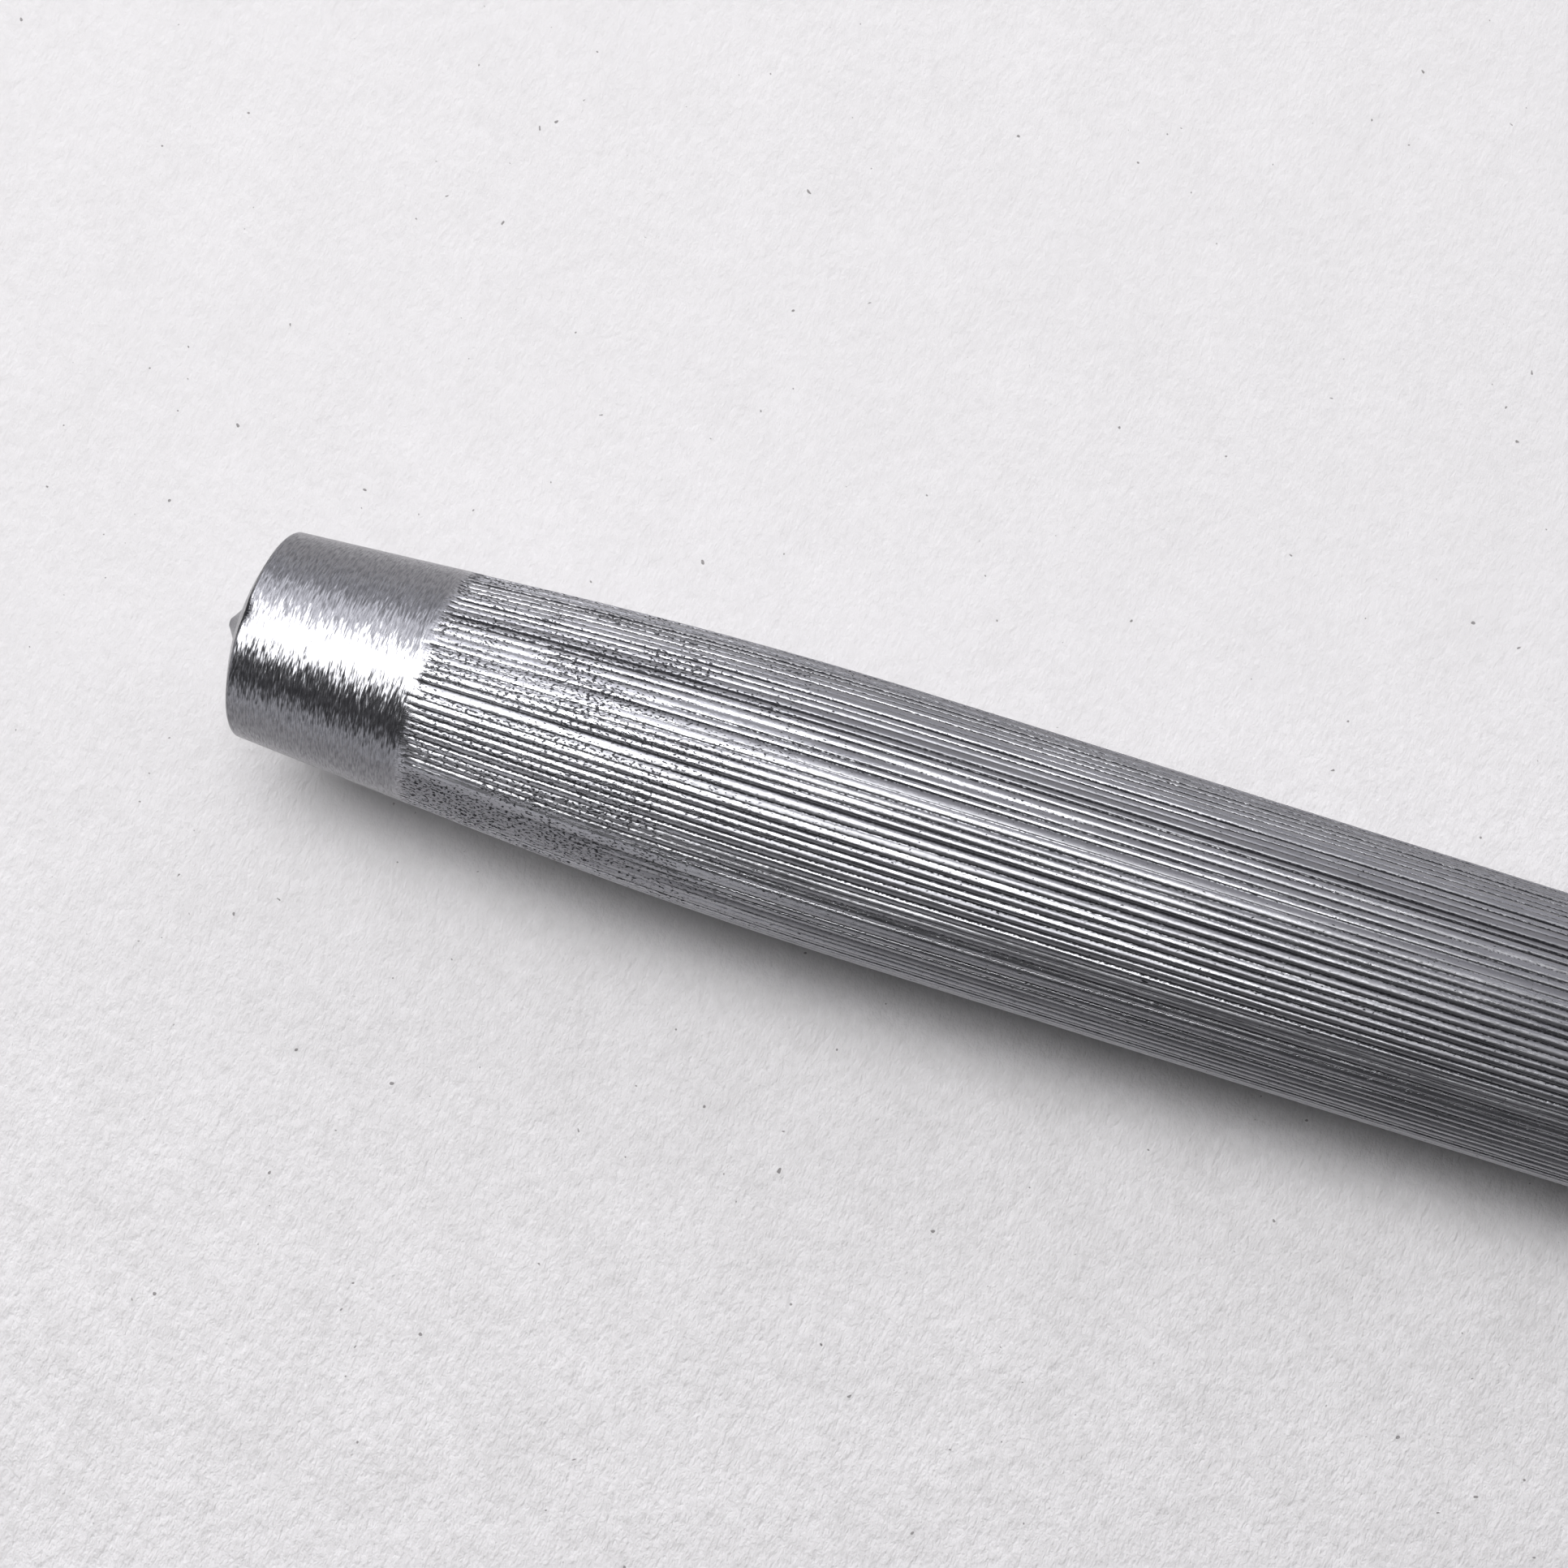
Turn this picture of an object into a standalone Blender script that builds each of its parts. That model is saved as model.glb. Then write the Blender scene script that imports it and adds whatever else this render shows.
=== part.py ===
"""A pricking iron: a hand-struck leather tool that marks a row of slanted stitch slits.

Four rigid pieces: a round handle with straight knurling, a toothed blade whose tang sits in a slot
sawn into the handle's nose, and two cross pins that hold the tang there.

Metres, +Z up. The tool lies along X, with its struck end at -X and its teeth at +X. The blade lies
level, and z = 0 is the surface that the knurled handle rests on.
"""

import math

import bmesh
import bpy
from mathutils import Vector

MM = 0.001

# Overall
TOTAL_LENGTH = 112.0 * MM
PLAY = 0.1 * MM  # the gap kept between pieces that touch on the real tool

# Handle: distances along it are measured from the rim of the struck end
HANDLE_RADIUS = 4.0 * MM
RIM_RADIUS = 3.05 * MM
CROWN_HEIGHT = 0.67 * MM
PIP_HEIGHT = 0.5 * MM
PIP_RADIUS = 0.8 * MM
PIP_TIP_RADIUS = 0.13 * MM
EDGE_BREAK = 0.15 * MM
TAPER_SLOPE = 0.0745
TAPER_END = 7.0 * MM
FULL_RADIUS_AT = 18.6 * MM

# Knurling: straight ridges along the handle
RIDGES = 100
KNURL_START = 5.1 * MM
KNURL_END = 56.0 * MM
KNURL_RUNOUT = 0.4 * MM
GROOVE_DEPTH = 0.08 * MM

# Neck and nose
NECK_START = 57.0 * MM
NECK_END = 68.5 * MM
NECK_RADIUS = 2.5 * MM
HANDLE_END = 85.0 * MM
NOSE_CHAMFER = 0.5 * MM
SLOT_DEPTH = 13.5 * MM

# Blade
TANG_THICKNESS = 2.0 * MM
TANG_HALF_WIDTH = 3.7 * MM
BLADE_THICKNESS = 3.0 * MM
SHOULDER_HALF_WIDTH = 4.6 * MM
BLADE_CHAMFER = 0.3 * MM
FLARE_LENGTH = 11.0 * MM
FACE_BEVEL_LENGTH = 5.0 * MM

# Teeth
TEETH = 6
TOOTH_PITCH = 3.0 * MM
TOOTH_LENGTH = 7.0 * MM
TOOTH_SLANT = math.radians(45)
ROOT_THICKNESS = 2.1 * MM
TIP_THICKNESS = 1.5 * MM
TIP_WIDTH = 0.22 * MM
GULLET_ROOT_RADIUS = 0.45 * MM

# Cross pins, at these distances back from the handle's end
PIN_RADIUS = 1.0 * MM
PIN_SETBACKS = {"front_pin": 3.6 * MM, "rear_pin": 9.6 * MM}

# Worked out from the dimensions above
RIM_X = -TOTAL_LENGTH / 2 + CROWN_HEIGHT + PIP_HEIGHT
AXIS_Z = HANDLE_RADIUS * math.cos(math.pi / RIDGES)  # it rests on two neighbouring ridges
NOSE_END_X = RIM_X + HANDLE_END
TIP_X = TOTAL_LENGTH / 2
SHOULDER_X = NOSE_END_X + PLAY
GULLET_X = TIP_X - TOOTH_LENGTH
BLADE_HALF_WIDTH = TEETH * TOOTH_PITCH / 2


def clear_scene():
    """Removes whatever the scene starts with."""
    for item in list(bpy.data.objects):
        bpy.data.objects.remove(item, do_unlink=True)


def steel(name, colour, roughness):
    """A bare or plated metal."""
    material = bpy.data.materials.new(name)
    material.use_nodes = True
    shader = material.node_tree.nodes["Principled BSDF"]
    shader.inputs["Base Color"].default_value = (*colour, 1.0)
    shader.inputs["Metallic"].default_value = 1.0
    shader.inputs["Roughness"].default_value = roughness
    return material


def add_object(name, bm, material=None):
    """Turns a bmesh into an object whose faces point outwards and whose round stretches are smooth."""
    bmesh.ops.recalc_face_normals(bm, faces=bm.faces)
    mesh = bpy.data.meshes.new(name)
    bm.to_mesh(mesh)
    bm.free()
    mesh.shade_smooth()
    mesh.set_sharp_from_angle(angle=math.radians(25))
    item = bpy.data.objects.new(name, mesh)
    bpy.context.collection.objects.link(item)
    if material:
        mesh.materials.append(material)
    return item


def cut(item, cutter):
    """Subtracts a cutter, which stays in the scene as a wire guide."""
    cutter.hide_render = True
    cutter.display_type = "WIRE"
    boolean = item.modifiers.new(cutter.name, "BOOLEAN")
    boolean.operation = "DIFFERENCE"
    boolean.solver = "EXACT"
    boolean.object = cutter


def surface_radius(along):
    """The handle's radius at a distance from the rim: a straight taper that eases into a cylinder,
    which a hollow neck divides into the grip and the nose."""
    if along <= TAPER_END:
        return RIM_RADIUS + TAPER_SLOPE * along
    if along <= FULL_RADIUS_AT:
        left = (FULL_RADIUS_AT - along) / (FULL_RADIUS_AT - TAPER_END)
        at_taper_end = RIM_RADIUS + TAPER_SLOPE * TAPER_END
        return HANDLE_RADIUS - (HANDLE_RADIUS - at_taper_end) * left**2
    if NECK_START < along < NECK_END:
        share = (along - NECK_START) / (NECK_END - NECK_START)
        hollow = (1 - math.cos(2 * math.pi * share)) / 2
        return HANDLE_RADIUS - (HANDLE_RADIUS - NECK_RADIUS) * hollow
    return HANDLE_RADIUS


def spread(first, last, steps):
    """Evenly spaced values from first to last, both included."""
    return [first + (last - first) * i / steps for i in range(steps + 1)]


def struck_end_profile():
    """Points (distance from the rim, radius) over the centre pip and the crown, out to the rim."""
    crown_edge = RIM_RADIUS - EDGE_BREAK
    points = [
        (-(CROWN_HEIGHT + PIP_HEIGHT), PIP_TIP_RADIUS),
        (-(CROWN_HEIGHT + 0.5 * PIP_HEIGHT), (PIP_TIP_RADIUS + PIP_RADIUS) / 2),
    ]
    for radius in spread(1.1 * PIP_RADIUS, crown_edge, 4):
        points.append((-CROWN_HEIGHT * (1 - (radius / crown_edge) ** 2), radius))
    return points


def plain(along):
    """A smooth ring of the handle, with a point for each ridge."""
    return along, [surface_radius(along)] * RIDGES


def knurled(along):
    """A ring of the knurling: ridge tops and groove bottoms in turn."""
    top = surface_radius(along)
    return along, [top, top - GROOVE_DEPTH] * RIDGES


def handle_rings():
    """All rings of the handle in order, as (distance from the rim, radius at each point)."""
    rings = [(along, [radius] * RIDGES) for along, radius in struck_end_profile()]
    rings += [plain(EDGE_BREAK), plain(KNURL_START)]
    rings += [knurled(KNURL_START + KNURL_RUNOUT)]
    rings += [knurled(along) for along in spread(TAPER_END, FULL_RADIUS_AT, 4)]
    rings += [knurled(KNURL_END - KNURL_RUNOUT)]
    rings += [plain(KNURL_END)]
    rings += [plain(along) for along in spread(NECK_START, NECK_END, 10)]
    rings += [plain(HANDLE_END - NOSE_CHAMFER)]
    rings += [(HANDLE_END, [HANDLE_RADIUS - NOSE_CHAMFER] * RIDGES)]
    return rings


def add_ring(bm, along, radii):
    """Points around the handle's axis. The first is a ridge half a pitch from straight down."""
    ring = []
    for i, radius in enumerate(radii):
        angle = 2 * math.pi * i / len(radii) + math.pi / RIDGES - math.pi / 2
        place = (RIM_X + along, radius * math.cos(angle), AXIS_Z + radius * math.sin(angle))
        ring.append(bm.verts.new(place))
    return ring


def join_rings(bm, first, second):
    """Faces between two rings. Where the counts differ, one ring has a groove between each two ridges."""
    if len(first) > len(second):
        first, second = second, first
    count = len(first)
    for i in range(count):
        after = (i + 1) % count
        if len(second) == count:
            bm.faces.new((first[i], first[after], second[after], second[i]))
            continue
        ridge, groove, next_ridge = second[2 * i], second[2 * i + 1], second[2 * after]
        bm.faces.new((first[i], groove, ridge))
        bm.faces.new((first[i], first[after], groove))
        bm.faces.new((first[after], next_ridge, groove))


def make_handle(material):
    """The turned and knurled bar, from its struck end to its nose."""
    bm = bmesh.new()
    rings = [add_ring(bm, along, radii) for along, radii in handle_rings()]
    for first, second in zip(rings, rings[1:]):
        join_rings(bm, first, second)
    bm.faces.new(rings[0])
    bm.faces.new(rings[-1])
    return add_object("handle", bm, material)


def add_box(bm, low, high):
    """A box from its lowest to its highest corner."""
    size = Vector(high) - Vector(low)
    middle = (Vector(high) + Vector(low)) / 2
    made = bmesh.ops.create_cube(bm, size=1.0)
    bmesh.ops.scale(bm, vec=size, verts=made["verts"])
    bmesh.ops.translate(bm, vec=middle, verts=made["verts"])


def make_slot_cutter():
    """The slot sawn lengthwise into the nose, right across it."""
    bm = bmesh.new()
    half = TANG_THICKNESS / 2 + PLAY
    reach = 2 * HANDLE_RADIUS
    low = (NOSE_END_X - SLOT_DEPTH, -reach, AXIS_Z - half)
    high = (NOSE_END_X + reach, reach, AXIS_Z + half)
    add_box(bm, low, high)
    return add_object("slot_cutter", bm)


def add_upright_cylinder(bm, x, radius, length):
    """A cylinder along Z, centred on the handle's axis."""
    made = bmesh.ops.create_cone(
        bm,
        cap_ends=True,
        segments=32,
        radius1=radius,
        radius2=radius,
        depth=length,
    )
    bmesh.ops.translate(bm, vec=(x, 0, AXIS_Z), verts=made["verts"])


def make_pin_hole_cutter():
    """The cross holes, which run through the nose and the tang alike."""
    bm = bmesh.new()
    for setback in PIN_SETBACKS.values():
        add_upright_cylinder(bm, NOSE_END_X - setback, PIN_RADIUS + PLAY, 4 * HANDLE_RADIUS)
    return add_object("pin_hole_cutter", bm)


def make_pin(name, material):
    """A cross pin, filed off just below the nose's surface."""
    bm = bmesh.new()
    add_upright_cylinder(bm, NOSE_END_X - PIN_SETBACKS[name], PIN_RADIUS, 2 * (HANDLE_RADIUS - 2 * PLAY))
    return add_object(name, bm, material)


def blade_half_width(along):
    """The blade's half width at a distance from its shoulder: it flares like a fan, then runs straight."""
    share = min(1.0, along / FLARE_LENGTH)
    eased = share**2 * (3 - 2 * share)
    return SHOULDER_HALF_WIDTH + (BLADE_HALF_WIDTH - SHOULDER_HALF_WIDTH) * eased


def blade_sections():
    """The blade's cross-sections in order, as (x, half width, thickness)."""
    tang_start = NOSE_END_X - SLOT_DEPTH + PLAY
    bevel_start = GULLET_X - FACE_BEVEL_LENGTH
    sections = [
        (tang_start, TANG_HALF_WIDTH, TANG_THICKNESS),
        (SHOULDER_X, TANG_HALF_WIDTH, TANG_THICKNESS),
        (SHOULDER_X, SHOULDER_HALF_WIDTH - BLADE_CHAMFER, BLADE_THICKNESS - 2 * BLADE_CHAMFER),
    ]
    for along in spread(BLADE_CHAMFER, FLARE_LENGTH, 8):
        sections.append((SHOULDER_X + along, blade_half_width(along), BLADE_THICKNESS))
    sections += [
        (bevel_start, BLADE_HALF_WIDTH, BLADE_THICKNESS),
        (GULLET_X, BLADE_HALF_WIDTH, ROOT_THICKNESS),
        (TIP_X, BLADE_HALF_WIDTH, TIP_THICKNESS),
    ]
    return sections


def add_section(bm, x, half_width, thickness):
    """A rectangle across the blade with its four corners chamfered."""
    half = thickness / 2
    chamfer = BLADE_CHAMFER if thickness > TANG_THICKNESS else BLADE_CHAMFER / 3
    quarter = [(half_width - chamfer, half), (half_width, half - chamfer)]
    right = quarter + [(y, -z) for y, z in reversed(quarter)]
    outline = right + [(-y, z) for y, z in reversed(right)]
    return [bm.verts.new((x, y, AXIS_Z + z)) for y, z in outline]


def make_blade(material):
    """The blank of the blade: tang, shoulder, fan and the ground row that the teeth are cut from."""
    bm = bmesh.new()
    rings = [add_section(bm, *section) for section in blade_sections()]
    for first, second in zip(rings, rings[1:]):
        join_rings(bm, first, second)
    bm.faces.new(rings[0])
    bm.faces.new(rings[-1])
    return add_object("blade", bm, material)


def gullet_outline(left_edge, right_edge):
    """Points (x, distance across the cut) of one gullet: round at its root and open past the tips.
    The edges say how far it reaches at the tips on each side of its middle."""
    past = 0.5 * TOOTH_LENGTH
    arc_x = GULLET_X + GULLET_ROOT_RADIUS
    outline = []
    for angle in spread(-math.pi / 2, math.pi / 2, 8):
        x = arc_x - GULLET_ROOT_RADIUS * math.cos(angle)
        outline.append((x, GULLET_ROOT_RADIUS * math.sin(angle)))
    flank = TIP_X - arc_x
    right = GULLET_ROOT_RADIUS + (right_edge - GULLET_ROOT_RADIUS) * (flank + past) / flank
    left = GULLET_ROOT_RADIUS + (left_edge - GULLET_ROOT_RADIUS) * (flank + past) / flank
    outline.append((TIP_X + past, right))
    outline.append((TIP_X + past, -left))
    return outline


def add_gullet(bm, middle_y, outline):
    """A gullet outline pushed through the blade along the slant of the teeth."""
    across = Vector((0, math.cos(TOOTH_SLANT), -math.sin(TOOTH_SLANT)))
    through = Vector((0, math.sin(TOOTH_SLANT), math.cos(TOOTH_SLANT)))
    ends = []
    for side in (-1, 1):
        base = Vector((0, middle_y, AXIS_Z)) + side * BLADE_THICKNESS * through
        ends.append([bm.verts.new(base + Vector((x, 0, 0)) + w * across) for x, w in outline])
    join_rings(bm, *ends)
    for end in ends:
        bm.faces.new(end)


def make_gullet_cutter():
    """The slanted cuts between the teeth, and the two that shape the outer sides of the row."""
    bm = bmesh.new()
    between = (TOOTH_PITCH * math.cos(TOOTH_SLANT) - TIP_WIDTH) / 2
    beyond = TOOTH_PITCH
    for i in range(TEETH + 1):
        left = beyond if i == 0 else between
        right = beyond if i == TEETH else between
        middle_y = (i - TEETH / 2) * TOOTH_PITCH
        add_gullet(bm, middle_y, gullet_outline(left, right))
    return add_object("gullet_cutter", bm)


def main():
    clear_scene()
    plated = steel("plated_steel", (0.62, 0.62, 0.64), 0.28)
    ground = steel("ground_steel", (0.50, 0.50, 0.52), 0.32)
    pin_steel = steel("pin_steel", (0.56, 0.56, 0.57), 0.30)
    pin_holes = make_pin_hole_cutter()
    handle = make_handle(plated)
    cut(handle, make_slot_cutter())
    cut(handle, pin_holes)
    blade = make_blade(ground)
    cut(blade, make_gullet_cutter())
    cut(blade, pin_holes)
    for name in PIN_SETBACKS:
        make_pin(name, pin_steel)


main()
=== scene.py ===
"""Looks of the pricking iron: the fine surface of its knurled handle, its ground blade and its filed pins,
in a plain studio. Lengths are in metres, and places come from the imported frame."""

import math

import bmesh
import bpy
import numpy as np
from mathutils import Matrix, Vector


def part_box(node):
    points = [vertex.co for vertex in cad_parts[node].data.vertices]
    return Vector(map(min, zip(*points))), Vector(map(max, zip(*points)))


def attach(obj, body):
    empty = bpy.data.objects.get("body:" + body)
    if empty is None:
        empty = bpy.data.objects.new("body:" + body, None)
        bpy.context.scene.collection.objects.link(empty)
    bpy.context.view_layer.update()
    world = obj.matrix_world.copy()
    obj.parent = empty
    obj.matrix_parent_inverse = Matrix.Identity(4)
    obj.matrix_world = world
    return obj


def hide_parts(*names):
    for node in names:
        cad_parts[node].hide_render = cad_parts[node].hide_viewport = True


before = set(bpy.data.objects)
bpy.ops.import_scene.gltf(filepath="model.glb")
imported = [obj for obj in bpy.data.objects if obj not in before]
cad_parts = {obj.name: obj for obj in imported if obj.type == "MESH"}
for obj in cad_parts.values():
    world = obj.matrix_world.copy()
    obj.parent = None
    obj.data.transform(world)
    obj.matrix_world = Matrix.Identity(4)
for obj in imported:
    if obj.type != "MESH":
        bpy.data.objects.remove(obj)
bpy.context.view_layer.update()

MM = 0.001

# The frame's own places
HANDLE_LOW, HANDLE_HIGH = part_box("handle")
BLADE_LOW, BLADE_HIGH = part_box("blade")
AXIS_Z = (HANDLE_LOW.z + HANDLE_HIGH.z) / 2
RADIUS = (HANDLE_HIGH.z - HANDLE_LOW.z) / 2
PIN_BOXES = {name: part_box(name) for name in ("front_pin", "rear_pin")}

# Struck end and taper: distances along the handle are from the rim of the struck end
CROWN_HEIGHT = 0.67 * MM
PIP_HEIGHT = 0.5 * MM
PIP_RADIUS = 0.8 * MM
PIP_TIP_RADIUS = 0.13 * MM
RIM_X = HANDLE_LOW.x + CROWN_HEIGHT + PIP_HEIGHT
RIM_RADIUS = 3.05 * MM
EDGE_BREAK = 0.09 * MM
CHIP_ANGLE = math.radians(172)  # a small knock in the rim, on the far side of the top
CHIP_WIDTH = math.radians(7)
CHIP_DEPTH = 0.09 * MM
CHIP_REACH = 0.2 * MM
TAPER_SLOPE = 0.0745
TAPER_END = 7.0 * MM
FULL_RADIUS_AT = 18.6 * MM

# Knurling
KNURL_SEED = 31
RIDGES = 100
KNURL_START = 5.1 * MM
KNURL_END = 56.0 * MM
KNURL_RUN_OUT = 0.5 * MM  # the grooves get shallower over this length before they end
GROOVE_DEPTH = 0.062 * MM
GROOVE_HALF_SHARE = 0.12  # of the pitch, from a groove's bottom to the middle of the flank after it
FLANK_RATIO = 0.75  # the flank before a groove is narrower than the flank after it by this factor
SHOULDER_SHARE = 0.11  # of the pitch, from the middle of the flank after a groove to the ridge's shoulder
SECOND_SHOULDER_AT = 0.915  # of the pitch, less the share of the flank before the next groove
FLANK_DROP = 0.58  # of the depth, at the middle of a flank
SHOULDER_DROP = 0.17  # of the depth, where a flank rounds off into the ridge
FILED_DROP = 0.22  # of the depth: the ridges are filed flat towards the struck end
FILED_UNTIL = KNURL_START + 18 * MM
WORN_ANGLE = math.radians(163)  # the grooves are shallow here, on the far side of the top
WORN_WIDTH = math.radians(10)
SCUFF_ANGLE = math.radians(232)  # the first part of the grip is scuffed here, well over on the near side
SCUFF_WIDTH = math.radians(13)
SCUFF_END = 15 * MM
POINTS_PER_RIDGE = 6

# Neck and nose
NECK_START = 57.0 * MM
NECK_END = 68.5 * MM
NECK_RADIUS = 2.5 * MM
HANDLE_END = HANDLE_HIGH.x - RIM_X
NOSE_CHAMFER = 0.5 * MM
NOSE_EDGE_BREAK = 0.06 * MM
SLOT_START_X = BLADE_LOW.x - 0.05 * MM
SLOT_PLAY = 0.02 * MM
HOLE_PLAY = 0.03 * MM

# Pins
PIN_BELOW_NOSE = 0.015 * MM
PIN_DISH_DEPTH = 0.05 * MM
PIN_DISH_SHARE = 0.45  # of the pin's radius
PIN_EDGE_DROP = 0.06 * MM
PIN_EDGE_START = 0.88  # of the pin's radius

# Blade
BLADE_HALF_WIDTH = BLADE_HIGH.y
BLADE_THICKNESS = BLADE_HIGH.z - BLADE_LOW.z
TANG_THICKNESS = 2.0 * MM
TANG_HALF_WIDTH = 3.7 * MM
SHOULDER_X = HANDLE_HIGH.x + 0.03 * MM
SHOULDER_HALF_WIDTH = 4.6 * MM
FLARE_LENGTH = 11.0 * MM
TOOTH_LENGTH = 7.0 * MM
TEETH = 6
TOOTH_PITCH = 2 * BLADE_HALF_WIDTH / TEETH
TOOTH_SLANT = math.radians(45)
TIP_X = BLADE_HIGH.x
GULLET_X = TIP_X - TOOTH_LENGTH
BEVEL_LENGTH = 5.0 * MM
ROOT_THICKNESS = 2.1 * MM
TIP_THICKNESS = 1.45 * MM
TIP_WIDTH = 0.14 * MM
GULLET_ROOT_RADIUS = 0.45 * MM
BLADE_CHAMFER = 0.28 * MM
TANG_CHAMFER = 0.1 * MM
TOOTH_EDGE_BREAK = 0.05 * MM

# Floor: a wide sheet that fades to the backdrop's colour between two distances from the tool
FLOOR_HALF_SIZE = 1500 * MM
FLOOR_DROP = 0.004 * MM
FADE_START = 110 * MM
FADE_END = 300 * MM

# Camera: above the grip, looking straight down, with the tool sloping down to the right
CAMERA_ALONG = 15.3 * MM
CAMERA_ABOVE_AXIS = 52.4 * MM
CAMERA_SIDEWAYS = 0.30 * MM
CAMERA_ROLL = math.radians(17.35)
LENS_MM = 42.1
SENSOR_MM = 36.0

# Colours, as linear red, green and blue
BLACK = (0.0, 0.0, 0.0)
WHITE = (1.0, 1.0, 1.0)
COOL_WHITE = (0.95, 0.95, 1.0)
BACKDROP = (0.8, 0.797, 0.81)
PLATING_DARK = (0.235, 0.235, 0.247)
PLATING_LIGHT = (0.285, 0.285, 0.30)
# painted shade in the sanding strokes on the plain band
PLATING_STROKE_SHADE = (0.04, 0.04, 0.045)
# a painted highlight: lighter plating on the knurling near the struck end
PLATING_PAINTED_HIGHLIGHT = (0.42, 0.42, 0.44)
PLATING_DULL = (0.10, 0.10, 0.108)
# dirt and painted shade in the grooves and on the rim, and dark pits
DIRT_AND_SHADE = (0.009, 0.009, 0.011)
TURNED_DARK = (0.24, 0.24, 0.252)
TURNED_LIGHT = (0.31, 0.31, 0.322)
TURNED_SCUFF = (0.12, 0.12, 0.126)
GROUND_DARK = (0.31, 0.31, 0.32)
GROUND_LIGHT = (0.42, 0.42, 0.43)
FORGING_SCALE = (0.10, 0.092, 0.086)
PIN_DARK = (0.27, 0.27, 0.28)
PIN_LIGHT = (0.38, 0.38, 0.385)
PAPER_LIGHT = (0.727, 0.713, 0.726)
PAPER_DARK = (0.611, 0.598, 0.605)
PAPER_SPECK = (0.16, 0.15, 0.15)
NEAR_ROOM = (0.065, 0.065, 0.07)
FAR_ROOM = (0.78, 0.78, 0.84)
END_ROOM = (0.75, 0.75, 0.78)
NEAR_HORIZON_LEFT = (0.95, 0.95, 1.0)
NEAR_HORIZON_RIGHT = (0.12, 0.12, 0.13)
FAR_HORIZON = (0.85, 0.85, 0.9)
NEAR_LIGHTING = (0.03, 0.03, 0.03)
FAR_LIGHTING = (0.95, 0.95, 0.98)


# ---------------------------------------------------------------- meshes


def eased(share):
    """A smooth step from 0 to 1."""
    share = np.clip(share, 0.0, 1.0)
    return share * share * (3 - 2 * share)


def peak(angles, centre, width):
    """1 at an angle, falling smoothly to 0 on both sides of it."""
    return np.exp(-(((angles - centre) / width) ** 2))


def surface_radius(along):
    """The handle's radius at distances from the rim: a taper that eases into the grip, then a hollow
    neck, then the nose."""
    along = np.asarray(along, dtype=float)
    at_taper_end = RIM_RADIUS + TAPER_SLOPE * TAPER_END
    left = np.clip((FULL_RADIUS_AT - along) / (FULL_RADIUS_AT - TAPER_END), 0, None)
    radius = RADIUS - (RADIUS - at_taper_end) * left**2
    radius = np.where(along <= TAPER_END, RIM_RADIUS + TAPER_SLOPE * along, radius)
    share = np.clip((along - NECK_START) / (NECK_END - NECK_START), 0, 1)
    return radius - (RADIUS - NECK_RADIUS) * (1 - np.cos(2 * math.pi * share)) / 2


def ring_points(along, radii, angles):
    """Points round the axis. An angle of zero is straight down."""
    x = np.broadcast_to(RIM_X + np.asarray(along, dtype=float), angles.shape)
    return np.stack([x, radii * np.sin(angles), AXIS_Z - radii * np.cos(angles)], axis=-1)


def even_angles(count):
    """Angles evenly round a full turn."""
    return 2 * math.pi * np.arange(count) / count


def faces_between(first, first_count, second, second_count):
    """Faces between two closed rings, given each ring's first index and its count. One count may be a
    multiple of the other."""
    flip = first_count > second_count
    if flip:
        first, first_count, second, second_count = second, second_count, first, first_count
    ratio = second_count // first_count
    made = []
    for i in range(first_count):
        after = (i + 1) % first_count
        far = [second + (ratio * (i + 1) - k) % second_count for k in range(ratio + 1)]
        face = [first + i, first + after] + far
        made.append(face[::-1] if flip else face)
    return made


def add_rings(name, rings, attributes=None):
    """An object whose surface runs through closed rings of points, closed at both ends."""
    counts = [len(ring) for ring in rings]
    starts = np.concatenate([[0], np.cumsum(counts)]).astype(int)
    faces = [list(range(starts[0], starts[1]))]
    for i in range(len(rings) - 1):
        faces += faces_between(starts[i], counts[i], starts[i + 1], counts[i + 1])
    faces.append(list(range(starts[-2], starts[-1]))[::-1])
    mesh = bpy.data.meshes.new(name)
    mesh.from_pydata(np.concatenate(rings).tolist(), [], faces)
    for label, values in (attributes or {}).items():
        layer = mesh.attributes.new(label, "FLOAT", "POINT")
        layer.data.foreach_set("value", np.concatenate(values).astype(np.float32))
    return add_object(name, mesh)


def add_object(name, mesh):
    """Links a mesh with its faces turned outwards and its round stretches smooth."""
    bm = bmesh.new()
    bm.from_mesh(mesh)
    bmesh.ops.recalc_face_normals(bm, faces=bm.faces)
    bm.to_mesh(mesh)
    bm.free()
    mesh.shade_smooth()
    item = bpy.data.objects.new(name, mesh)
    bpy.context.collection.objects.link(item)
    return item


def wander(rng, rows, along, spacing):
    """Smooth random values, one column for each row number, that change over about one spacing."""
    knots = np.arange(along[0], along[-1] + 2 * spacing, spacing)
    values = rng.standard_normal((rows, len(knots)))
    return np.stack([np.interp(along, knots, row) for row in values], axis=1)


# ---------------------------------------------------------------- handle


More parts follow.
